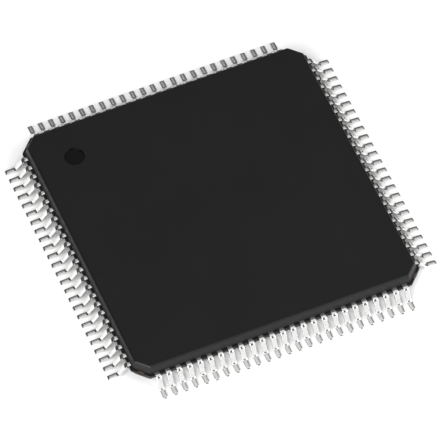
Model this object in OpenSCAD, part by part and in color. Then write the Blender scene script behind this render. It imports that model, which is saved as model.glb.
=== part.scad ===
// Thin quad flat pack: a moulded body with gull-wing leads on four sides.
// The frame stands on its lead feet: +Z is up, the origin lies under the middle of the body.
// Lead 1 is at the back end of the left side, and the leads count anticlockwise from above.

/* [Body] */
// Width of the moulded body across its flats, where the leads come out
body_width = 13.8; // [13.6:0.1:16]
// Height of the moulded body alone, from underside to top
body_height = 1; // [0.9:0.05:1.4]
// Gap between the underside of the body and the board
standoff = 0.1; // [0.05:0.01:0.15]
// Draft of the side walls, from upright, above and below the leads
draft_angle = 14; // [5:1:18]
// Leg of the cut corners, where the leads come out
corner_cut = 0.6; // [0.4:0.02:0.7]
// Radius along the top and bottom edges of the body
edge_radius = 0.1; // [0.05:0.01:0.15]
// Reach of the thin web of resin left between the leads
web_reach = 0.1; // [0.04:0.01:0.2]

/* [Marks] */
// Diameter of the round dimple that marks lead 1
dimple_diameter = 0.9; // [0.5:0.05:1.5]
// Depth of the dimple
dimple_depth = 0.07; // [0.03:0.01:0.1]
// Distance of the dimple's centre from the body's two nearest flats
dimple_inset = 1.9; // [1.5:0.05:3]
// Diameter of the ejector marks on the underside
ejector_diameter = 1.2; // [0.8:0.1:2]
// Depth of the ejector marks
ejector_depth = 0.02; // [0.01:0.01:0.04]
// Distance of the ejector marks from the body's two nearest flats
ejector_inset = 2.5; // [2:0.1:4]

/* [Leads] */
// Leads on each side
leads_per_side = 25; // [13:2:25]
// Distance from lead to lead
lead_pitch = 0.5; // [0.45:0.01:0.5]
// Width of a lead outside the body
lead_width = 0.22; // [0.17:0.01:0.27]
// Thickness of the sheet that all the leads are cut from
lead_thickness = 0.127; // [0.1:0.001:0.15]
// Reach of the lead tips beyond the body's flats
lead_reach = 1.1; // [0.95:0.05:1.4]
// Flat run of a lead between the resin web and its first bend
shoulder_run = 0.02; // [0.01:0.01:0.1]
// Inside radius of the first, downward bend
shoulder_radius = 0.1; // [0.08:0.01:0.15]
// Inside radius of the bend at the heel
heel_radius = 0.12; // [0.08:0.01:0.15]
// Run of a lead's slanting leg outwards for each millimetre that it falls
leg_lean = 0.75; // [0.2:0.05:0.85]
// Fall of the foot towards its tip
foot_angle = 3.5; // [0:0.5:5]
// Radius that shearing leaves along the top edge of a lead's tip
tip_radius = 0.09; // [0.02:0.01:0.09]
// Width of the stub that the cut dam bar leaves on each edge of a lead
stub_width = 0.02; // [0.01:0.005:0.04]
// Turn of the first bend that the stubs cover
stub_turn = 24; // [10:1:40]

/* [Fingers] */
// Straight run of a lead inside the body before it fans inwards
exit_run = 0.45; // [0.3:0.05:0.7]
// Width of a finger at its bonded tip
finger_width = 0.12; // [0.1:0.01:0.14]
// Width of a finger where the fan meets the straight run, as a ratio of the lead's width
finger_taper = 0.8; // [0.7:0.05:1]
// Length of the last, straighter stretch of a finger
finger_run = 0.5; // [0.4:0.05:0.8]
// Spread of the fan where that last stretch starts, as a ratio of its spread at the tips
finger_spread = 1.08; // [1:0.01:1.15]
// Gap between the paddle and the finger tips
finger_gap = 0.45; // [0.3:0.05:0.8]
// Distance along the tip row from the outermost finger to the tie bar's middle line
finger_corner_gap = 0.6; // [0.5:0.05:0.9]

/* [Tape] */
// Distance from the finger tips to the inner edge of the tape ring
tape_gap = 0.9; // [0.7:0.05:1.2]
// Width of the tape ring
tape_width = 0.6; // [0.4:0.05:0.9]
// Thickness of the tape with its adhesive
tape_thickness = 0.05; // [0.03:0.01:0.08]

/* [Paddle and die] */
// Side of the square silicon die
die_size = 5.4; // [4:0.1:5.6]
// Thickness of the die
die_thickness = 0.25; // [0.15:0.01:0.28]
// Thickness of the bonding layer under the die
bond_line = 0.025; // [0.015:0.005:0.04]
// Margin of the bonding layer inside the paddle's edge
bond_inset = 0.25; // [0.1:0.05:0.35]
// Margin of the paddle around the die
paddle_margin = 0.4; // [0.35:0.05:0.6]
// Depth of the paddle below the leads
down_set = 0.2; // [0.15:0.01:0.25]
// Width of the tie bars
tie_width = 0.3; // [0.2:0.01:0.34]
// Run of a tie bar on the paddle's level, from the paddle's corner to the rise
tie_flat = 0.3; // [0.2:0.05:0.6]
// Length along the diagonal over which a tie bar rises to the leads' level
tie_rise = 0.4; // [0.3:0.05:0.8]

/* [Bond wires] */
// Diameter of the wire
wire_diameter = 0.03; // [0.02:0.001:0.033]
// Height of the wire's arc over the line between its ends
wire_rise = 0.16; // [0.1:0.01:0.2]
// Diameter of the ball on the die
ball_diameter = 0.075; // [0.06:0.005:0.09]
// Diameter of the stitch on the finger
stitch_diameter = 0.08; // [0.06:0.005:0.09]
// Height of both the ball and the stitch
bond_height = 0.038; // [0.036:0.001:0.05]
// Distance of the balls from the edge of the die
pad_inset = 0.12; // [0.08:0.01:0.2]
// Distance of the outermost balls from the corner of the die
pad_corner = 0.35; // [0.25:0.05:0.6]
// Distance of the stitch from the finger's tip
stitch_inset = 0.12; // [0.08:0.01:0.2]

/* [Hidden] */

$fn = 48;

// Turn of each side's row about Z, from a row that runs out along +Y
back = 0;
left = 90;
front = 180;
right = 270;
sides = [back, left, front, right];

// Heights
body_top = standoff + body_height;
lead_level = standoff + body_height / 2;
lead_top = lead_level + lead_thickness / 2;
lead_bottom = lead_level - lead_thickness / 2;
paddle_top = lead_top - down_set;
die_bottom = paddle_top + bond_line;
die_top = die_bottom + die_thickness;

// Plan sizes, from the middle outwards
half_body = body_width / 2;
half_diagonal = (body_width - corner_cut) / sqrt(2);
half_web = half_body + web_reach;
half_web_diagonal = half_diagonal + web_reach;
tip_row = half_body + lead_reach;
half_die = die_size / 2;
half_paddle = half_die + paddle_margin;
finger_row = half_paddle + finger_gap;
tape_inner = finger_row + tape_gap;
tape_outer = tape_inner + tape_width;

// Rows: leads are numbered from the middle one, 0, to both ends
row_end = (leads_per_side - 1) / 2;
row = [-row_end : row_end];
finger_pitch = (finger_row - finger_corner_gap) / row_end;
pad_pitch = (half_die - pad_corner) / row_end;

// The gull-wing's middle line: two bends joined by a slanting leg, then the foot
leg_angle = atan2(1, leg_lean);
bend_radius = shoulder_radius + lead_thickness / 2;
heel_bend_radius = heel_radius + lead_thickness / 2;
// Height of the foot's middle line at its tip, whose lower edge touches the board
tip_level = lead_thickness / 2 * cos(foot_angle);
foot_drop = lead_level - tip_level;
bends_drop = bend_radius * (1 - cos(leg_angle)) + heel_bend_radius * (cos(foot_angle) - cos(leg_angle));
bends_run = bend_radius * sin(leg_angle) + heel_bend_radius * (sin(leg_angle) - sin(foot_angle));
foot_and_leg_run = lead_reach - web_reach - shoulder_run - bends_run;
// Leg and foot lengths share the run and the drop that the bends leave over
leg_length = ((foot_drop - bends_drop) * cos(foot_angle) - foot_and_leg_run * sin(foot_angle))
    / sin(leg_angle - foot_angle);
foot_length = (foot_and_leg_run - leg_length * cos(leg_angle)) / cos(foot_angle);

// Solids that only cut are longer than what they cut by this much
spare = 1;
// Bends turn this much further at each end, so that they run into the straights they join
seam = 0.02;

// Profile of one pair of opposite walls, across the body: half_width is where the leads come out
module wall_profile(half_width) {
    rise = body_height / 2 - lead_thickness / 2;
    half_top = half_width - rise * tan(draft_angle);
    tangent = edge_radius * tan(45 - draft_angle / 2);
    for (under = [0, 1], far = [0, 1])
        translate([0, lead_level])
            mirror([0, under])
                mirror([far, 0]) {
                    polygon([
                        [0, 0],
                        [half_width + web_reach, 0],
                        [half_width + web_reach, lead_thickness / 2],
                        [half_width, lead_thickness / 2],
                        [half_top + tangent * sin(draft_angle), body_height / 2 - tangent * cos(draft_angle)],
                        [half_top - tangent, body_height / 2],
                        [0, body_height / 2]
                    ]);
                    translate([half_top - tangent, body_height / 2 - edge_radius])
                        circle(edge_radius);
                }
}

// The wall profile run straight through the body, along Y turned by the given angle
module wall_prism(half_width, turn) {
    rotate([90, 0, turn])
        linear_extrude(4 * half_body, center = true)
            wall_profile(half_width);
}

module body_form() {
    intersection() {
        wall_prism(half_body, 0);
        wall_prism(half_body, 90);
        wall_prism(half_diagonal, 45);
        wall_prism(half_diagonal, -45);
    }
}

// Plan points of one lead's middle line, from the finger's tip to the first bend
function lead_line(k) = [
    [k * finger_pitch, finger_row],
    [k * finger_pitch * finger_spread, finger_row + finger_run],
    [k * lead_pitch, half_body - exit_run],
    [k * lead_pitch, half_web + shoulder_run]
];

// Slant of the stretch between two plan points, from straight out
function slant(from, to) = atan2(to.x - from.x, to.y - from.y);

// Half width across the row at each plan point, so that a slanting stretch keeps its width
function half_widths(line) = [
    finger_width / 2 / cos(slant(line[0], line[1])),
    finger_width / 2 / cos((slant(line[0], line[1]) + slant(line[1], line[2])) / 2),
    lead_width / 2 / cos(slant(line[1], line[2]) / 2) * finger_taper,
    lead_width / 2
];

module lead_plan(k) {
    line = lead_line(k);
    half = half_widths(line);
    exit = [k * lead_pitch, half_body - exit_run / 2];
    polygon(concat(
        [for (i = [0 : 2]) line[i] - [half[i], 0]],
        [exit - [lead_width / 2, 0], line[3] - [half[3], 0]],
        [line[3] + [half[3], 0], exit + [lead_width / 2, 0]],
        [for (i = [2 : -1 : 0]) line[i] + [half[i], 0]]
    ));
}

// The flat inner part of one lead
module lead_blade(k) {
    translate([0, 0, lead_bottom])
        linear_extrude(lead_thickness)
            lead_plan(k);
}

// A strip of lead bent round the X axis: it starts level at the origin and turns down from +Y
module bent_strip(radius, turn, width) {
    translate([0, 0, -radius])
        rotate([0, -90, 0])
            rotate([0, 0, -seam])
                rotate_extrude(angle = turn + 2 * seam)
                    translate([radius, 0])
                        square([lead_thickness, width], center = true);
}

// Side view of a foot, from the lower edge of its tip inwards, with the tip's top edge rolled over
module foot_profile() {
    roll_level = lead_thickness - tip_radius;
    difference() {
        square([foot_length, lead_thickness]);
        difference() {
            translate([-spare, roll_level])
                square([spare + tip_radius, spare]);
            translate([tip_radius, roll_level])
                circle(tip_radius);
        }
    }
}

// The gull-wing outside the body, in the plane x = 0
module gull_wing() {
    translate([0, half_web + shoulder_run, lead_level]) {
        bent_strip(bend_radius, leg_angle, lead_width);
        bent_strip(bend_radius, stub_turn, lead_width + 2 * stub_width);
        translate([0, bend_radius * sin(leg_angle), -bend_radius * (1 - cos(leg_angle))])
            rotate([-leg_angle, 0, 0]) {
                translate([-lead_width / 2, 0, -lead_thickness / 2])
                    cube([lead_width, leg_length, lead_thickness]);
                translate([0, leg_length, 0])
                    mirror([0, 0, 1])
                        bent_strip(heel_bend_radius, leg_angle - foot_angle, lead_width);
            }
    }
    translate([0, tip_row, tip_level])
        rotate([-foot_angle, 0, 0])
            translate([0, 0, -lead_thickness / 2])
                rotate([90, 0, -90])
                    linear_extrude(lead_width, center = true)
                        foot_profile();
}

module lead(k) {
    lead_blade(k);
    translate([k * lead_pitch, 0, 0])
        gull_wing();
}

module lead_row(side) {
    color("silver")
        rotate([0, 0, side])
            for (k = row)
                lead(k);
}

// Side view of a tie bar along its diagonal, from under the die to the edge of the resin web
module tie_profile() {
    rise_start = half_paddle * sqrt(2) + tie_flat;
    rise_end = rise_start + tie_rise;
    reach = half_web_diagonal;
    polygon([
        [0, paddle_top - lead_thickness],
        [rise_start, paddle_top - lead_thickness],
        [rise_end, lead_bottom],
        [reach, lead_bottom],
        [reach, lead_top],
        [rise_end, lead_top],
        [rise_start, paddle_top],
        [0, paddle_top]
    ]);
}

module die_paddle() {
    color("silver") {
        translate([-half_paddle, -half_paddle, paddle_top - lead_thickness])
            cube([2 * half_paddle, 2 * half_paddle, lead_thickness]);
        for (side = sides)
            rotate([90, 0, side + 45])
                linear_extrude(tie_width, center = true)
                    tie_profile();
    }
}

module die_attach() {
    reach = half_paddle - bond_inset;
    color("gainsboro")
        translate([-reach, -reach, paddle_top])
            cube([2 * reach, 2 * reach, bond_line]);
}

module silicon_die() {
    color("slategray")
        translate([-half_die, -half_die, die_bottom])
            cube([die_size, die_size, die_thickness]);
}

// A round wire in an upright arc between two points, rising in the middle
module wire_arc(from, to) {
    step = to - from;
    chord = norm(step);
    radius = (chord * chord / 4 + wire_rise * wire_rise) / (2 * wire_rise);
    half_turn = asin(chord / 2 / radius);
    translate((from + to) / 2)
        rotate([0, -atan2(step.z, norm([step.x, step.y])), atan2(step.y, step.x)])
            translate([0, 0, wire_rise - radius])
                rotate([90, 0, 0])
                    rotate([0, 0, 90 - half_turn])
                        rotate_extrude(angle = 2 * half_turn)
                            translate([radius, 0])
                                circle(d = wire_diameter);
}

module bond_wire(k) {
    line = lead_line(k);
    ball = [k * pad_pitch, half_die - pad_inset, die_top];
    landing = line[0] + (line[1] - line[0]) * stitch_inset / finger_run;
    stitch = [landing.x, landing.y, lead_top];
    lift = [0, 0, bond_height / 2];
    translate(ball)
        cylinder(bond_height, d = ball_diameter);
    translate(stitch)
        cylinder(bond_height, d = stitch_diameter);
    wire_arc(ball + lift, stitch + lift);
}

module wire_row(side) {
    color("gold")
        rotate([0, 0, side])
            for (k = row)
                bond_wire(k);
}

module lead_tape() {
    color("orange")
        translate([0, 0, lead_top])
            linear_extrude(tape_thickness)
                difference() {
                    square(2 * tape_outer, center = true);
                    square(2 * tape_inner, center = true);
                }
}

// Everything that the resin flows round
module embedded_pieces() {
    for (side = sides) {
        rotate([0, 0, side])
            for (k = row)
                lead_blade(k);
        wire_row(side);
    }
    die_paddle();
    die_attach();
    silicon_die();
    lead_tape();
}

// A shallow round recess that faces up, sunk from the given point of the surface
module recess(diameter, depth) {
    translate([0, 0, -depth])
        cylinder(depth + spare, d = diameter);
}

module mold_body() {
    mark = half_body - dimple_inset;
    ejector = half_body - ejector_inset;
    color("dimgray")
        difference() {
            body_form();
            translate([-mark, mark, body_top])
                recess(dimple_diameter, dimple_depth);
            for (side = sides)
                rotate([0, 0, side])
                    translate([ejector, ejector, standoff])
                        mirror([0, 0, 1])
                            recess(ejector_diameter, ejector_depth);
            embedded_pieces();
        }
}

mold_body();
lead_row(left);  // leads_left
lead_row(front);  // leads_front
lead_row(right);  // leads_right
lead_row(back);  // leads_back
die_paddle();
die_attach();
silicon_die();
wire_row(left);  // wires_left
wire_row(front);  // wires_front
wire_row(right);  // wires_right
wire_row(back);  // wires_back
lead_tape();
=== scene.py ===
"""Looks of a thin quad flat pack chip, built round its packed construction model.

The file is laid out as an add-on with one operator for each piece or group of like pieces, and is run
as a script: main() registers the classes and calls the operators in order. All lengths are in metres.
"""

import math

import bmesh
import bpy
from bpy.props import FloatProperty, FloatVectorProperty, IntProperty, PointerProperty
from bpy.types import Operator, Panel, PropertyGroup
from mathutils import Matrix, Vector


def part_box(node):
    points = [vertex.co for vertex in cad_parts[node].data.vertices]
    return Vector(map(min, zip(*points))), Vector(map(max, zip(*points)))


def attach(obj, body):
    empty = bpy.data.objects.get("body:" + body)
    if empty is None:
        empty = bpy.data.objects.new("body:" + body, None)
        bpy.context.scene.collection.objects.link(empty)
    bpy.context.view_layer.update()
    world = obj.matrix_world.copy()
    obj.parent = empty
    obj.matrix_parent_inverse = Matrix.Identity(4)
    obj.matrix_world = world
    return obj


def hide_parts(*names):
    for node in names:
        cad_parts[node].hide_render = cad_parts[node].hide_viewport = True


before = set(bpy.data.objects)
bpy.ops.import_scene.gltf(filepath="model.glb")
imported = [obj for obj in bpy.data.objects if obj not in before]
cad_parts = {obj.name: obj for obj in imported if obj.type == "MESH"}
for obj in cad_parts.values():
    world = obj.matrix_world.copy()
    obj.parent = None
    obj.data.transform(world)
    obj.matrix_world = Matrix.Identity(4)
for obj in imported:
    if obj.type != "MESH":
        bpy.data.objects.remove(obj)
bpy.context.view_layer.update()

bl_info = {
    "name": "Quad Flat Pack Chip",
    "version": (1, 0, 0),
    "blender": (4, 5, 0),
    "location": "View3D > Sidebar > Chip",
    "description": "Moulded body, plated gull-wing leads, die and bond wires of a thin quad flat pack",
    "category": "Object",
}

MM = 0.001
BODY = "root"

# Place of the polished finish in the body's list of materials
POLISHED = 1

# A level face starts with a border this wide, which keeps its shading flat up to a rounded edge
FLAT_BORDER = 0.01 * MM

# Turn of each side's row about Z, from a row that runs out along +Y
SIDES = {"back": 0, "left": 90, "front": 180, "right": 270}

RESIN_LOW, RESIN_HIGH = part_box("mold_body")
ROW_LOW, ROW_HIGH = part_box("leads_back")


# ---------------------------------------------------------------- settings


def length(name, default, description):
    return FloatProperty(
        name=name, description=description, default=default, min=0, precision=6, unit="LENGTH"
    )


def turn(name, degrees, description):
    return FloatProperty(name=name, description=description, default=math.radians(degrees), unit="ROTATION")


def ratio(name, default, description):
    return FloatProperty(name=name, description=description, default=default, min=0)


def colour(name, default, description):
    return FloatVectorProperty(
        name=name, description=description, default=default, size=3, min=0, max=1, subtype="COLOR"
    )


class MouldingSizes(PropertyGroup):
    """Sizes of the moulded body"""

    web_reach: length("Web Reach", 0.1 * MM, "Reach of the resin web beyond the walls")
    web_recess: length("Web Recess", 0.004 * MM, "Depth of the web below the faces of the leads")
    corner_cut: length("Corner Cut", 0.6 * MM, "Leg of the cut corners where the leads come out")
    draft: turn("Draft", 14, "Lean of the walls from upright")
    edge_radius: length("Edge Radius", 0.1 * MM, "Radius of the top and bottom edges")
    corner_radius: length("Corner Radius", 0.06 * MM, "Radius of the eight upright corners")
    dimple_radius: length("Dimple Radius", 0.45 * MM, "Radius of the mark of lead 1")
    dimple_depth: length("Dimple Depth", 0.07 * MM, "Depth of the mark of lead 1")
    dimple_inset: length("Dimple Inset", 1.9 * MM, "Distance of the mark from the two nearest flats")
    ejector_radius: length("Ejector Radius", 0.6 * MM, "Radius of the ejector marks underneath")
    ejector_depth: length("Ejector Depth", 0.02 * MM, "Depth of the ejector marks")
    ejector_inset: length("Ejector Inset", 2.5 * MM, "Distance of an ejector mark from the two nearest flats")
    lip_radius: length("Lip Radius", 0.01 * MM, "Rounding of the rims of the marks")


class LeadSizes(PropertyGroup):
    """Sizes of the leads"""

    count: IntProperty(name="Leads", description="Leads on each side", default=25, min=1)
    pitch: length("Pitch", 0.5 * MM, "Distance from lead to lead")
    width: length("Width", 0.22 * MM, "Width of a lead outside the body")
    thickness: length("Thickness", 0.127 * MM, "Thickness of the lead frame's sheet")
    edge_radius: length("Edge Radius", 0.014 * MM, "Rounding of the long edges")
    shoulder_radius: length("Shoulder Radius", 0.1 * MM, "Inside radius of the first bend")
    heel_radius: length("Heel Radius", 0.12 * MM, "Inside radius of the bend at the heel")
    shoulder_run: length("Shoulder Run", 0.02 * MM, "Flat run between the web and the first bend")
    leg_lean: ratio("Leg Lean", 0.75, "Run of the slanting leg for each unit that it falls")
    foot_angle: turn("Foot Angle", 3.5, "Fall of the foot towards its tip")
    tip_radius: length("Tip Radius", 0.09 * MM, "Roll that shearing leaves along the top edge of the tip")
    stub_width: length("Stub Width", 0.02 * MM, "Reach of the dam bar's stubs on each edge")
    stub_turn: turn("Stub Turn", 24, "Turn of the first bend that the stubs cover")
    exit_run: length("Exit Run", 0.45 * MM, "Straight run inside the body before the fan")
    finger_width: length("Finger Width", 0.12 * MM, "Width of a finger at its bonded tip")
    finger_run: length("Finger Run", 0.5 * MM, "Length of the last stretch of a finger")
    finger_spread: ratio("Finger Spread", 1.08, "Spread of the fan where the last stretch starts")
    finger_taper: ratio("Finger Taper", 0.8, "Width where the fan meets the straight run, over the lead's")
    finger_corner_gap: length("Finger Corner Gap", 0.6 * MM, "Distance from the last finger to the tie bar")


class Finishes(PropertyGroup):
    """Colours of the finishes"""

    resin: colour("Resin", (0.003, 0.003, 0.0031), "Black moulding resin")
    tin: colour("Tin", (0.83, 0.83, 0.82), "Matt tin plate")
    copper: colour("Cut Copper", (0.66, 0.54, 0.47), "Sheared copper at the tips of the leads")
    tarnish: colour("Tarnished Copper", (0.07, 0.054, 0.045), "Cut ends of the tie bars and the dam bar")
    silver: colour("Silver", (0.86, 0.85, 0.83), "Silver plate inside the body")
    silicon: colour("Silicon", (0.16, 0.18, 0.22), "Polished silicon")
    adhesive: colour("Adhesive", (0.52, 0.52, 0.5), "Silver-filled adhesive")
    gold: colour("Gold", (0.95, 0.66, 0.25), "Drawn gold wire")
    film: colour("Film", (0.55, 0.24, 0.03), "Amber film")
    table: colour("Table", (0.93, 0.93, 0.93), "Pale table")


class StudioSettings(PropertyGroup):
    """Camera and lights"""

    azimuth: turn("Azimuth", -23.715, "Turn of the camera round the part")
    elevation: turn("Elevation", 55.752, "Height of the camera above the horizon, as an angle")
    roll: turn("Roll", 0.637, "Turn of the camera about its own axis")
    distance: length("Distance", 322.1 * MM, "Distance from the camera to its target")
    lens: ratio("Lens", 581.3, "Focal length in millimetres")
    box_power: ratio("Overhead Radiance", 0.85, "Brightness of the overhead softbox")
    back_power: ratio("Back Radiance", 0.45, "Brightness of the screen behind the overhead softbox")
    left_power: ratio("Left Radiance", 5.6, "Brightness of the main softbox, at the left front")
    right_power: ratio("Right Radiance", 4.8, "Brightness of the softbox at the right front")
    low_power: ratio("Low Radiance", 1.4, "Brightness of the low card at the left back")
    card_power: ratio("Front Radiance", 1.0, "Brightness of the front card")
    room: ratio("Room Radiance", 0.08, "Brightness of the dark room")


# ---------------------------------------------------------------- helpers


def add_object(name, mesh):
    piece = bpy.data.objects.new(name, mesh)
    bpy.context.scene.collection.objects.link(piece)
    return piece


def shade(mesh, sharp_degrees):
    """Smooth shading with edges sharp past the given angle."""
    mesh.shade_smooth()
    mesh.set_sharp_from_angle(angle=math.radians(sharp_degrees))


def place(piece, slot, *nodes):
    """Hands a finished piece to the frame: its body and the nodes that it stands for. The slot is not used.
    """
    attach(piece, BODY)
    if nodes:
        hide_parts(*nodes)


def dress(node, material):
    """Gives a construction node its finish."""
    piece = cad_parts[node]
    piece.data.materials.clear()
    piece.data.materials.append(material)


# ---------------------------------------------------------------- materials


class Shader:
    """A material's node tree with short calls for adding and joining nodes."""

    def __init__(self, name):
        self.material = bpy.data.materials.new(name)
        self.material.use_nodes = True
        self.nodes = self.material.node_tree.nodes
        self.links = self.material.node_tree.links
        self.surface = self.nodes["Principled BSDF"]
        self.place = self.add("ShaderNodeTexCoord").outputs["Object"]

    def add(self, kind, **settings):
        node = self.nodes.new(kind)
        for name, value in settings.items():
            setattr(node, name, value)
        return node

    def feed(self, socket, value):
        if isinstance(value, bpy.types.NodeSocket):
            self.links.new(value, socket)
        else:
            socket.default_value = value

    def set(self, **values):
        for name, value in values.items():
            self.feed(self.surface.inputs[name.replace("_", " ")], value)

    def noise(self, grain, detail=3.0, roughness=0.5):
        """Noise whose lumps are about the given length across."""
        node = self.add("ShaderNodeTexNoise")
        self.feed(node.inputs["Vector"], self.place)
        node.inputs["Scale"].default_value = 1 / grain
        node.inputs["Detail"].default_value = detail
        node.inputs["Roughness"].default_value = roughness
        return node.outputs["Fac"]

    def cells(self, grain):
        node = self.add("ShaderNodeTexVoronoi")
        self.feed(node.inputs["Vector"], self.place)
        node.inputs["Scale"].default_value = 1 / grain
        return node.outputs["Distance"]

    def spread(self, value, low, high, start=0.3, end=0.7):
        """Maps a texture's middle range to low and high."""
        node = self.add("ShaderNodeMapRange")
        self.feed(node.inputs["Value"], value)
        node.inputs["From Min"].default_value = start
        node.inputs["From Max"].default_value = end
        node.inputs["To Min"].default_value = low
        node.inputs["To Max"].default_value = high
        return node.outputs["Result"]

    def math(self, operation, first, second=0.0):
        node = self.add("ShaderNodeMath", operation=operation)
        self.feed(node.inputs[0], first)
        self.feed(node.inputs[1], second)
        return node.outputs["Value"]

    def mix(self, amount, first, second):
        node = self.add("ShaderNodeMix", data_type="RGBA")
        self.feed(node.inputs["Factor"], amount)
        self.feed(node.inputs["A"], (*first, 1) if isinstance(first, tuple) else first)
        self.feed(node.inputs["B"], (*second, 1) if isinstance(second, tuple) else second)
        return node.outputs["Result"]

    def axes(self):
        node = self.add("ShaderNodeSeparateXYZ")
        self.feed(node.inputs["Vector"], self.place)
        return node.outputs

    def bump(self, height, depth, strength=1.0):
        node = self.add("ShaderNodeBump")
        self.feed(node.inputs["Height"], height)
        node.inputs["Distance"].default_value = depth
        node.inputs["Strength"].default_value = strength
        self.feed(self.surface.inputs["Normal"], node.outputs["Normal"])


def tone(value, factor):
    return tuple(channel * factor for channel in value)


def moulding_resin(finishes):
    """Black resin from a sparked mould: a fine even grain."""
    s = Shader("moulding_resin")
    base = tuple(finishes.resin)
    patches = s.spread(s.noise(3.2 * MM, detail=2), 0.0, 1.0)
    s.set(
        Base_Color=s.mix(patches, tone(base, 0.86), tone(base, 1.16)),
        Roughness=s.spread(s.noise(0.25 * MM), 0.38, 0.4),
        Specular_IOR_Level=0.36,
    )
    grain = s.math("ADD", s.noise(0.035 * MM, detail=4, roughness=0.6), s.cells(0.05 * MM))
    s.bump(grain, 0.0035 * MM, 0.7)
    return s.material


def polished_resin(finishes):
    """The same resin against the polished ends of the mould's pins."""
    s = Shader("polished_resin")
    base = tuple(finishes.resin)
    s.set(
        Base_Color=s.mix(s.spread(s.noise(0.5 * MM), 0.0, 1.0), tone(base, 0.8), tone(base, 1.1)),
        Roughness=s.spread(s.noise(0.2 * MM), 0.16, 0.24),
        Specular_IOR_Level=0.13,
    )
    s.bump(s.noise(0.06 * MM), 0.001 * MM, 0.5)
    return s.material


def tin_plate(finishes, leads):
    """Matt tin over the lead, with bare copper where the tips and the dam bar were sheared."""
    s = Shader("tin_plate")
    tin = tuple(finishes.tin)
    x, y = (s.math("ABSOLUTE", value) for value in s.axes()[:2])
    reach = s.math("MAXIMUM", x, y)

    # The smear of the shearing leaves tin on about half of each tip
    tip = s.math("GREATER_THAN", reach, ROW_HIGH.y - 0.002 * MM)
    bare = s.math("MULTIPLY", tip, s.math("LESS_THAN", s.noise(0.05 * MM), 0.47))

    # The dam bar's cut ends lie further from the lead's middle line than its edges do
    aside = s.math("PINGPONG", s.math("MINIMUM", x, y), leads.pitch / 2)
    past_edge = s.math("GREATER_THAN", aside, leads.width / 2 + leads.stub_width / 2)
    stub = s.math("MULTIPLY", past_edge, s.math("GREATER_THAN", reach, RESIN_HIGH.x))

    cloudy = s.mix(s.spread(s.noise(0.25 * MM), 0.0, 1.0), tone(tin, 0.93), tin)
    plated = s.mix(bare, cloudy, tuple(finishes.copper))
    s.set(
        Base_Color=s.mix(stub, plated, tuple(finishes.tarnish)),
        Metallic=1.0,
        Roughness=s.math("ADD", s.spread(s.noise(0.08 * MM), 0.1, 0.17), s.math("MULTIPLY", bare, 0.2)),
    )
    s.bump(s.noise(0.012 * MM, detail=3), 0.0008 * MM, 0.6)
    return s.material


def silver_plate(finishes, moulding):
    """Silver over the paddle and its tie bars, with tarnished copper where the bars leave the walls."""
    s = Shader("silver_plate")
    silver = tuple(finishes.silver)
    x, y = (s.math("ABSOLUTE", value) for value in s.axes()[:2])
    wall = 2 * (RESIN_HIGH.x - moulding.web_reach) - moulding.corner_cut
    cut = s.math("GREATER_THAN", s.math("ADD", x, y), wall - 0.01 * MM)
    plate = s.mix(s.spread(s.noise(0.18 * MM), 0.0, 1.0), tone(silver, 0.9), silver)
    s.set(
        Base_Color=s.mix(cut, plate, tuple(finishes.tarnish)),
        Metallic=s.math("SUBTRACT", 1.0, s.math("MULTIPLY", cut, 0.7)),
        Roughness=s.math("ADD", s.spread(s.noise(0.09 * MM), 0.23, 0.33), s.math("MULTIPLY", cut, 0.3)),
    )
    s.bump(s.noise(0.03 * MM), 0.0008 * MM, 0.5)
    return s.material


def simple_metal(name, base, roughness, grain, depth):
    """A bare metal with bumps of the given grain and depth."""
    s = Shader(name)
    s.set(
        Base_Color=s.mix(s.spread(s.noise(grain * 6), 0.0, 1.0), tone(base, 0.9), base),
        Metallic=1.0,
        Roughness=s.spread(s.noise(grain * 3), roughness - 0.05, roughness + 0.05),
    )
    s.bump(s.noise(grain), depth, 0.5)
    return s.material


def silicon(finishes):
    """Polished silicon with a faint mottle of the layers on it."""
    s = Shader("silicon")
    base = tuple(finishes.silicon)
    s.set(
        Base_Color=s.mix(s.spread(s.noise(0.6 * MM), 0.0, 1.0), tone(base, 0.85), tone(base, 1.15)),
        Metallic=0.6,
        Roughness=s.spread(s.noise(0.2 * MM), 0.08, 0.14),
    )
    s.bump(s.noise(0.02 * MM), 0.0004 * MM, 0.3)
    return s.material


def adhesive(finishes):
    """Bonding layer full of silver flakes."""
    s = Shader("die_adhesive")
    base = tuple(finishes.adhesive)
    s.set(
        Base_Color=s.mix(s.spread(s.cells(0.02 * MM), 0.0, 1.0), tone(base, 0.8), tone(base, 1.2)),
        Metallic=0.4,
        Roughness=s.spread(s.noise(0.1 * MM), 0.35, 0.5),
    )
    s.bump(s.noise(0.015 * MM), 0.002 * MM, 0.6)
    return s.material


def tape_film(finishes):
    """Glossy amber film."""
    s = Shader("tape_film")
    base = tuple(finishes.film)
    s.set(
        Base_Color=s.mix(s.spread(s.noise(0.8 * MM), 0.0, 1.0), tone(base, 0.85), tone(base, 1.1)),
        Roughness=s.spread(s.noise(0.2 * MM), 0.2, 0.32),
        Coat_Weight=0.4,
    )
    s.bump(s.noise(0.06 * MM), 0.001 * MM, 0.4)
    return s.material


def pale_table(finishes):
    """Even, pale and matt."""
    s = Shader("pale_table")
    base = tuple(finishes.table)
    s.set(
        Base_Color=s.mix(s.spread(s.noise(20 * MM), 0.0, 1.0), tone(base, 0.985), base),
        Roughness=s.spread(s.noise(8 * MM), 0.55, 0.65),
        Specular_IOR_Level=0.2,
    )
    return s.material


# ---------------------------------------------------------------- moulded body


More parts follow.
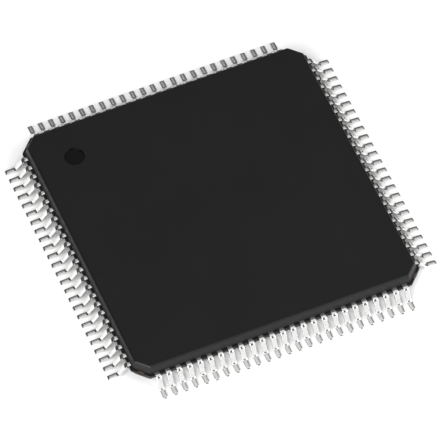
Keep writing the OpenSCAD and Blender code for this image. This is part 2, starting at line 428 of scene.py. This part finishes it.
def octagon(half_width, half_diagonal, level, radius, steps=4):
    """Points of a level ring with four flats, four cut corners and rounded meetings, anticlockwise."""
    eighth = math.radians(45)
    points = []
    for corner in range(8):
        start = eighth * corner
        near, far = (half_width, half_diagonal) if corner % 2 == 0 else (half_diagonal, half_width)
        along = (far - radius - (near - radius) * math.cos(eighth)) / math.sin(eighth)
        centre = Matrix.Rotation(start, 2) @ Vector((near - radius, along))
        for step in range(steps + 1):
            angle = start + eighth * step / steps
            point = centre + radius * Vector((math.cos(angle), math.sin(angle)))
            points.append((point.x, point.y, level))
    return points


def circle(centre, radius, level, steps=48):
    return [
        (
            centre.x + radius * math.cos(math.tau * step / steps),
            centre.y + radius * math.sin(math.tau * step / steps),
            level,
        )
        for step in range(steps)
    ]


def add_ring(bm, points):
    return [bm.verts.new(point) for point in points]


def join_rings(bm, low, high):
    """Faces between two rings of equally many points."""
    for i, corner in enumerate(low):
        after = (i + 1) % len(low)
        bm.faces.new((corner, low[after], high[after], high[i]))


def ring_edges(bm, ring):
    return [bm.edges.get((ring[i], ring[(i + 1) % len(ring)])) for i in range(len(ring))]


def wall_steps(sizes, leads):
    """Inset and height of each ring from the web up to the top face, for one half of the body."""
    half_height = (RESIN_HIGH.z - RESIN_LOW.z) / 2
    web_half = leads.thickness / 2 - sizes.web_recess
    top_inset = (half_height - leads.thickness / 2) * math.tan(sizes.draft)
    centre_inset = top_inset + sizes.edge_radius * math.tan(math.radians(45) - sizes.draft / 2)
    centre_height = half_height - sizes.edge_radius
    web_rounding = 0.006 * MM
    steps = [
        (-sizes.web_reach, web_half - web_rounding),
        (-sizes.web_reach + web_rounding, web_half),
        (0, web_half),
    ]
    arc_steps = 7
    for step in range(arc_steps + 1):
        angle = sizes.draft + (math.pi / 2 - sizes.draft) * step / arc_steps
        inset = centre_inset - sizes.edge_radius * math.cos(angle)
        steps.append((inset, centre_height + sizes.edge_radius * math.sin(angle)))
    steps.append((centre_inset + FLAT_BORDER, half_height))
    return steps


def add_mark(bm, centre, radius, depth, lip, face, way):
    """A polished round recess in a level face: returns its rim ring. way is 1 in the top face, -1 below."""
    rings = [add_ring(bm, circle(centre, radius + lip + FLAT_BORDER, face))]
    quarter_steps = 4
    for step in range(quarter_steps + 1):
        angle = math.pi / 2 * step / quarter_steps
        level = face - way * lip * (1 - math.cos(angle))
        rings.append(add_ring(bm, circle(centre, radius + lip * (1 - math.sin(angle)), level)))
    for step in range(quarter_steps + 1):
        angle = math.pi / 2 * step / quarter_steps
        level = face - way * (depth - lip * (1 - math.sin(angle)))
        rings.append(add_ring(bm, circle(centre, radius - lip * (1 - math.cos(angle)), level)))
    before = len(bm.faces)
    for outer, inner in zip(rings, rings[1:]):
        join_rings(bm, outer, inner)
    flat = add_ring(bm, circle(centre, radius - lip - FLAT_BORDER, face - way * depth))
    join_rings(bm, rings[-1], flat)
    bm.faces.new(flat)
    bm.faces.ensure_lookup_table()
    for polished in bm.faces[before:]:
        polished.material_index = POLISHED
    return rings[0]


def moulding_mesh(sizes, leads):
    bm = bmesh.new()
    middle = (RESIN_HIGH.z + RESIN_LOW.z) / 2
    half_width = RESIN_HIGH.x - sizes.web_reach
    half_diagonal = (2 * half_width - sizes.corner_cut) / math.sqrt(2)
    upper = wall_steps(sizes, leads)
    steps = [(inset, -rise) for inset, rise in reversed(upper)] + upper
    rings = [
        add_ring(bm, octagon(half_width - inset, half_diagonal - inset, middle + rise, sizes.corner_radius))
        for inset, rise in steps
    ]
    for low, high in zip(rings, rings[1:]):
        join_rings(bm, low, high)

    mark = half_width - sizes.dimple_inset
    dimple = add_mark(
        bm, Vector((-mark, mark)), sizes.dimple_radius, sizes.dimple_depth, sizes.lip_radius, RESIN_HIGH.z, 1
    )
    corner = half_width - sizes.ejector_inset
    lip = min(sizes.lip_radius, sizes.ejector_depth / 2)
    ejectors = [
        add_mark(bm, Vector((x, y)), sizes.ejector_radius, sizes.ejector_depth, lip, RESIN_LOW.z, -1)
        for x in (-corner, corner)
        for y in (-corner, corner)
    ]
    for outline, marks in ((rings[-1], [dimple]), (rings[0], ejectors)):
        edges = ring_edges(bm, outline)
        for rim in marks:
            edges += ring_edges(bm, rim)
        bmesh.ops.triangle_fill(bm, use_beauty=True, use_dissolve=False, edges=edges)
    bmesh.ops.recalc_face_normals(bm, faces=bm.faces)
    mesh = bpy.data.meshes.new("moulded_body")
    bm.to_mesh(mesh)
    bm.free()
    return mesh


class CHIP_OT_add_moulding(Operator):
    """Add the moulded resin body with its marks"""

    bl_idname = "chip.add_moulding"
    bl_label = "Add Moulded Body"

    def execute(self, context):
        scene = context.scene
        mesh = moulding_mesh(scene.chip_moulding, scene.chip_leads)
        mesh.materials.append(moulding_resin(scene.chip_finishes))
        mesh.materials.append(polished_resin(scene.chip_finishes))
        shade(mesh, 35)
        place(add_object("moulded_body", mesh), "moulding_resin", "mold_body")
        return {"FINISHED"}


# ---------------------------------------------------------------- node trees


class Tree:
    """A Geometry Nodes tree with short calls for adding and joining nodes."""

    def __init__(self, name, sizes, counts=(), materials=("Finish",)):
        self.group = bpy.data.node_groups.new(name, "GeometryNodeTree")
        face = self.group.interface
        face.new_socket("Geometry", in_out="INPUT", socket_type="NodeSocketGeometry")
        face.new_socket("Geometry", in_out="OUTPUT", socket_type="NodeSocketGeometry")
        for label in sizes:
            face.new_socket(label, in_out="INPUT", socket_type="NodeSocketFloat")
        for label in counts:
            face.new_socket(label, in_out="INPUT", socket_type="NodeSocketInt")
        for label in materials:
            face.new_socket(label, in_out="INPUT", socket_type="NodeSocketMaterial")
        self.given = self.add("NodeGroupInput").outputs
        self.out = self.add("NodeGroupOutput")

    def add(self, kind, **settings):
        node = self.group.nodes.new(kind)
        for name, value in settings.items():
            setattr(node, name, value)
        return node

    def feed(self, socket, value):
        if isinstance(value, bpy.types.NodeSocket):
            self.group.links.new(value, socket)
        else:
            socket.default_value = value

    def call(self, kind, result=0, settings=None, **inputs):
        """Adds a node, feeds its inputs by name and returns one of its outputs."""
        node = self.add(kind, **(settings or {}))
        for name, value in inputs.items():
            self.feed(node.inputs[name.replace("_", " ")], value)
        return node.outputs[result]

    def math(self, operation, first, second=0.0):
        node = self.add("ShaderNodeMath", operation=operation)
        self.feed(node.inputs[0], first)
        self.feed(node.inputs[1], second)
        return node.outputs["Value"]

    def named(self, label):
        node = self.add("GeometryNodeInputNamedAttribute", data_type="FLOAT")
        node.inputs["Name"].default_value = label
        return node.outputs["Attribute"]

    def vector(self, x=0.0, y=0.0, z=0.0):
        return self.call("ShaderNodeCombineXYZ", X=x, Y=y, Z=z)

    def finish(self, geometry):
        real = self.call("GeometryNodeRealizeInstances", Geometry=geometry)
        shown = self.call("GeometryNodeSetMaterial", Geometry=real, Material=self.given["Finish"])
        self.feed(self.out.inputs[0], shown)
        return self.group


def run_tree(name, host, group, values):
    """Runs a tree on a host mesh and returns the result as a plain piece."""
    source = add_object(name + "_host", host)
    modifier = source.modifiers.new("tree", "NODES")
    modifier.node_group = group
    identifiers = {
        item.name: item.identifier for item in group.interface.items_tree if item.in_out == "INPUT"
    }
    for label, value in values.items():
        modifier[identifiers[label]] = value
    evaluated = source.evaluated_get(bpy.context.evaluated_depsgraph_get())
    mesh = bpy.data.meshes.new_from_object(evaluated)
    mesh.name = name
    source.modifiers.clear()
    bpy.data.objects.remove(source)
    bpy.data.meshes.remove(host)
    if not mesh.vertices:
        raise RuntimeError(f"the tree of {name} made no mesh")
    return add_object(name, mesh)


def path_mesh(name, points, **attributes):
    """A line of edges whose points carry named numbers."""
    mesh = bpy.data.meshes.new(name)
    mesh.from_pydata(points, [(i, i + 1) for i in range(len(points) - 1)], [])
    for label, values in attributes.items():
        mesh.attributes.new(label, "FLOAT", "POINT").data.foreach_set("value", values)
    return mesh


# ---------------------------------------------------------------- leads


def lead_stations(sizes, moulding):
    """Stations along a lead's middle line: (out, level, half width, distance from lead to lead, roll)."""
    level = ROW_HIGH.z - sizes.thickness / 2
    half_body = RESIN_HIGH.x - moulding.web_reach
    finger_row = ROW_LOW.y
    row_end = (sizes.count - 1) / 2
    finger_pitch = (finger_row - sizes.finger_corner_gap) / row_end
    finger_half = sizes.finger_width / 2
    half = sizes.width / 2
    step = 0.001 * MM

    angle = math.atan2(1, sizes.leg_lean)
    fall = sizes.foot_angle
    shoulder = sizes.shoulder_radius + sizes.thickness / 2
    heel = sizes.heel_radius + sizes.thickness / 2
    bend_start = RESIN_HIGH.x + sizes.shoulder_run
    tip_out = ROW_HIGH.y
    tip_level = ROW_LOW.z + sizes.thickness / 2 * math.cos(fall)

    # The leg and the foot share the drop and the run that the two bends leave over
    drop = level - tip_level - shoulder * (1 - math.cos(angle)) - heel * (math.cos(fall) - math.cos(angle))
    run = tip_out - bend_start - shoulder * math.sin(angle) - heel * (math.sin(angle) - math.sin(fall))
    leg = (drop * math.cos(fall) - run * math.sin(fall)) / math.sin(angle - fall)

    def on_shoulder(turned):
        return bend_start + shoulder * math.sin(turned), level - shoulder * (1 - math.cos(turned))

    stations = [
        (finger_row, level, finger_half, finger_pitch, 0),
        (finger_row + sizes.finger_run, level, finger_half, finger_pitch * sizes.finger_spread, 0),
        (half_body - sizes.exit_run, level, half * sizes.finger_taper, sizes.pitch, 0),
    ]

    def add(out, high, half_width=half, roll=0):
        stations.append((out, high, half_width, sizes.pitch, roll))

    def add_line(start, turned, span):
        """Two stations just inside the ends of a straight line, which keep its shading flat."""
        for along in (FLAT_BORDER, span - FLAT_BORDER):
            add(start[0] + along * math.cos(turned), start[1] - along * math.sin(turned))

    for out in (half_body - sizes.exit_run / 2, half_body, bend_start - step):
        add(out, level)
    stub_steps = 3
    for i in range(stub_steps + 1):
        add(*on_shoulder(sizes.stub_turn * i / stub_steps), half + sizes.stub_width)
    bend_steps = 5
    first = sizes.stub_turn + step / shoulder
    for i in range(bend_steps + 1):
        add(*on_shoulder(first + (angle - first) * i / bend_steps))
    out, high = on_shoulder(angle)
    add_line((out, high), angle, leg)
    heel_out = out + leg * math.cos(angle) + heel * math.sin(angle)
    heel_high = high - leg * math.sin(angle) + heel * math.cos(angle)
    for i in range(bend_steps + 1):
        left = angle + (fall - angle) * i / bend_steps
        add(heel_out - heel * math.sin(left), heel_high - heel * math.cos(left))
    foot_start = stations[-1][:2]
    add_line(foot_start, fall, (tip_out - foot_start[0]) / math.cos(fall) - sizes.tip_radius)
    roll_steps = 5
    for i in range(roll_steps + 1):
        rolled = math.pi / 2 * i / roll_steps
        inward = sizes.tip_radius * (1 - math.sin(rolled))
        lowered = sizes.tip_radius * (1 - math.cos(rolled))
        add(tip_out - inward * math.cos(fall), tip_level + inward * math.sin(fall), roll=lowered)
    return stations


def lead_row_tree():
    """Sweeps one lead along its path, repeats it along the side, and fans the fingers inwards."""
    tree = Tree("lead_row", ("Width", "Thickness", "Edge Radius", "Turn"), ("Leads",))
    given = tree.given
    path = tree.call("GeometryNodeMeshToCurve", Mesh=given["Geometry"])
    upright = tree.call("GeometryNodeSetCurveNormal", settings={"mode": "Z_UP"}, Curve=path)
    section = tree.call(
        "GeometryNodeCurvePrimitiveQuadrilateral", Width=given["Width"], Height=given["Thickness"]
    )
    rounded = tree.call(
        "GeometryNodeFilletCurve",
        settings={"mode": "POLY"},
        Curve=section,
        Radius=given["Edge Radius"],
        Count=2,
    )
    strip = tree.call("GeometryNodeCurveToMesh", Curve=upright, Profile_Curve=rounded, Fill_Caps=True)

    widen = tree.math("DIVIDE", tree.named("half_width"), tree.math("DIVIDE", given["Width"], 2.0))
    spot = tree.add("ShaderNodeSeparateXYZ")
    tree.feed(spot.inputs[0], tree.add("GeometryNodeInputPosition").outputs[0])
    extra = tree.math("MULTIPLY", spot.outputs["X"], tree.math("SUBTRACT", widen, 1.0))
    above = tree.math("SUBTRACT", spot.outputs["Z"], tree.named("level"))
    share = tree.math("DIVIDE", above, given["Thickness"])
    sunk = tree.math("MULTIPLY", tree.named("roll"), tree.math("ADD", share, 0.5))
    lower = tree.math("MULTIPLY", sunk, -1.0)
    shaped = tree.call("GeometryNodeSetPosition", Geometry=strip, Offset=tree.vector(x=extra, z=lower))

    places = tree.call("GeometryNodeMeshLine", Count=given["Leads"], Offset=(0.0, 0.0, 0.0))
    row = tree.call("GeometryNodeInstanceOnPoints", Points=places, Instance=shaped)
    number = tree.add("GeometryNodeInputIndex").outputs[0]
    store = tree.add("GeometryNodeStoreNamedAttribute", data_type="FLOAT", domain="INSTANCE")
    tree.feed(store.inputs["Geometry"], row)
    store.inputs["Name"].default_value = "lead"
    tree.feed(store.inputs["Value"], number)
    real = tree.call("GeometryNodeRealizeInstances", Geometry=store.outputs[0])

    last = tree.math("SUBTRACT", given["Leads"], 1.0)
    from_middle = tree.math("SUBTRACT", tree.named("lead"), tree.math("DIVIDE", last, 2.0))
    aside = tree.math("MULTIPLY", from_middle, tree.named("spacing"))
    fanned = tree.call("GeometryNodeSetPosition", Geometry=real, Offset=tree.vector(x=aside))
    turned = tree.call(
        "GeometryNodeTransform", Geometry=fanned, Rotation=tree.vector(z=given["Turn"])
    )
    return tree.finish(turned)


class CHIP_OT_add_leads(Operator):
    """Add the four rows of gull-wing leads with their fanned fingers"""

    bl_idname = "chip.add_leads"
    bl_label = "Add Leads"

    def execute(self, context):
        scene = context.scene
        sizes = scene.chip_leads
        stations = lead_stations(sizes, scene.chip_moulding)
        tree = lead_row_tree()
        finish = tin_plate(scene.chip_finishes, sizes)
        for side, degrees in SIDES.items():
            out, level, half_width, spacing, roll = zip(*stations)
            host = path_mesh(
                "lead_path",
                [(0, *spot) for spot in zip(out, level)],
                level=level,
                half_width=half_width,
                spacing=spacing,
                roll=roll,
            )
            values = {
                "Width": sizes.width,
                "Thickness": sizes.thickness,
                "Edge Radius": sizes.edge_radius,
                "Turn": math.radians(degrees),
                "Leads": sizes.count,
                "Finish": finish,
            }
            row = run_tree(f"plated_leads_{side}", host, tree, values)
            shade(row.data, 40)
            place(row, "plated_leads", f"leads_{side}")
        return {"FINISHED"}


# ---------------------------------------------------------------- inner pieces


class CHIP_OT_dress_inside(Operator):
    """Give the sealed inner pieces their finishes"""

    bl_idname = "chip.dress_inside"
    bl_label = "Dress Inner Pieces"

    def execute(self, context):
        finishes = context.scene.chip_finishes
        dress("die_paddle", silver_plate(finishes, context.scene.chip_moulding))
        dress("die_attach", adhesive(finishes))
        dress("silicon_die", silicon(finishes))
        dress("lead_tape", tape_film(finishes))
        gold = simple_metal("gold_wire", tuple(finishes.gold), 0.2, 0.01 * MM, 0.0002 * MM)
        for side in SIDES:
            dress(f"wires_{side}", gold)
        return {"FINISHED"}


# ---------------------------------------------------------------- stage


def area_light(name, centre, target, width, depth, radiance):
    """A flat light of the given sizes and even brightness that shines from centre towards target."""
    data = bpy.data.lights.new(name, "AREA")
    data.shape = "RECTANGLE"
    data.size = width
    data.size_y = depth
    data.energy = radiance * math.pi * width * depth
    light = bpy.data.objects.new(name, data)
    light.location = centre
    light.rotation_euler = (Vector(target) - Vector(centre)).to_track_quat("-Z", "Y").to_euler()
    bpy.context.scene.collection.objects.link(light)


class CHIP_OT_set_stage(Operator):
    """Set the pale table, the soft lights and the camera"""

    bl_idname = "chip.set_stage"
    bl_label = "Set Stage"

    def execute(self, context):
        scene = context.scene
        studio = scene.chip_studio
        bm = bmesh.new()
        bmesh.ops.create_grid(bm, x_segments=4, y_segments=4, size=1.0)
        table = bpy.data.meshes.new("table")
        bm.to_mesh(table)
        bm.free()
        table.materials.append(pale_table(scene.chip_finishes))
        add_object("table", table)

        part = (0, 0, 0)
        lights = (
            ("overhead_box", (0.08, 0.02, 0.3), (0.08, 0.02, 0), 0.24, 0.23, studio.box_power),
            ("back_screen", (0.1, 0.205, 0.3), (0.1, 0.205, 0), 0.17, 0.13, studio.back_power),
            ("left_box", (-0.28, -0.27, 0.3), part, 0.4, 0.56, studio.left_power),
            ("right_box", (0.44, -0.27, 0.28), part, 0.36, 0.56, studio.right_power),
            ("front_card", (0.1, -0.5, 0.14), part, 0.7, 0.24, studio.card_power),
            ("low_card", (-0.42, 0.25, 0.03), part, 0.4, 0.08, studio.low_power),
        )
        for light in lights:
            area_light(*light)
        world = bpy.data.worlds.new("room")
        world.use_nodes = True
        world.node_tree.nodes["Background"].inputs["Color"].default_value = (1, 1, 1, 1)
        world.node_tree.nodes["Background"].inputs["Strength"].default_value = studio.room
        scene.world = world
        scene.view_settings.view_transform = "Standard"

        back = Vector(
            (
                math.sin(studio.azimuth) * math.cos(studio.elevation),
                -math.cos(studio.azimuth) * math.cos(studio.elevation),
                math.sin(studio.elevation),
            )
        )
        target = Vector((-0.146 * MM, -0.576 * MM, 0.6 * MM))
        lens = bpy.data.cameras.new("camera")
        lens.lens = studio.lens
        lens.sensor_width = 36
        lens.clip_start = 0.01
        camera = bpy.data.objects.new("camera", lens)
        camera.rotation_mode = "QUATERNION"
        upright = Matrix.Rotation(studio.azimuth, 4, "Z") @ Matrix.Rotation(
            math.pi / 2 - studio.elevation, 4, "X"
        )
        camera.matrix_world = Matrix.Translation(target + back * studio.distance) @ upright @ Matrix.Rotation(
            studio.roll, 4, "Z"
        )
        scene.collection.objects.link(camera)
        scene.camera = camera
        return {"FINISHED"}


# ---------------------------------------------------------------- panel and registration

OPERATORS = (CHIP_OT_add_moulding, CHIP_OT_add_leads, CHIP_OT_dress_inside, CHIP_OT_set_stage)
SETTINGS = {
    "chip_moulding": MouldingSizes,
    "chip_leads": LeadSizes,
    "chip_finishes": Finishes,
    "chip_studio": StudioSettings,
}


class CHIP_PT_pieces(Panel):
    """Lists the operators that build the chip"""

    bl_idname = "CHIP_PT_pieces"
    bl_label = "Quad Flat Pack Chip"
    bl_space_type = "VIEW_3D"
    bl_region_type = "UI"
    bl_category = "Chip"

    def draw(self, context):
        for operator in OPERATORS:
            self.layout.operator(operator.bl_idname)


def register():
    for group in SETTINGS.values():
        bpy.utils.register_class(group)
    for name, group in SETTINGS.items():
        setattr(bpy.types.Scene, name, PointerProperty(type=group))
    for operator in OPERATORS:
        bpy.utils.register_class(operator)
    bpy.utils.register_class(CHIP_PT_pieces)


def unregister():
    bpy.utils.unregister_class(CHIP_PT_pieces)
    for operator in reversed(OPERATORS):
        bpy.utils.unregister_class(operator)
    for name in SETTINGS:
        delattr(bpy.types.Scene, name)
    for group in reversed(list(SETTINGS.values())):
        bpy.utils.unregister_class(group)


def main():
    register()
    bpy.ops.chip.add_moulding()
    bpy.ops.chip.add_leads()
    bpy.ops.chip.dress_inside()
    bpy.ops.chip.set_stage()


if __name__ == "__main__":
    main()
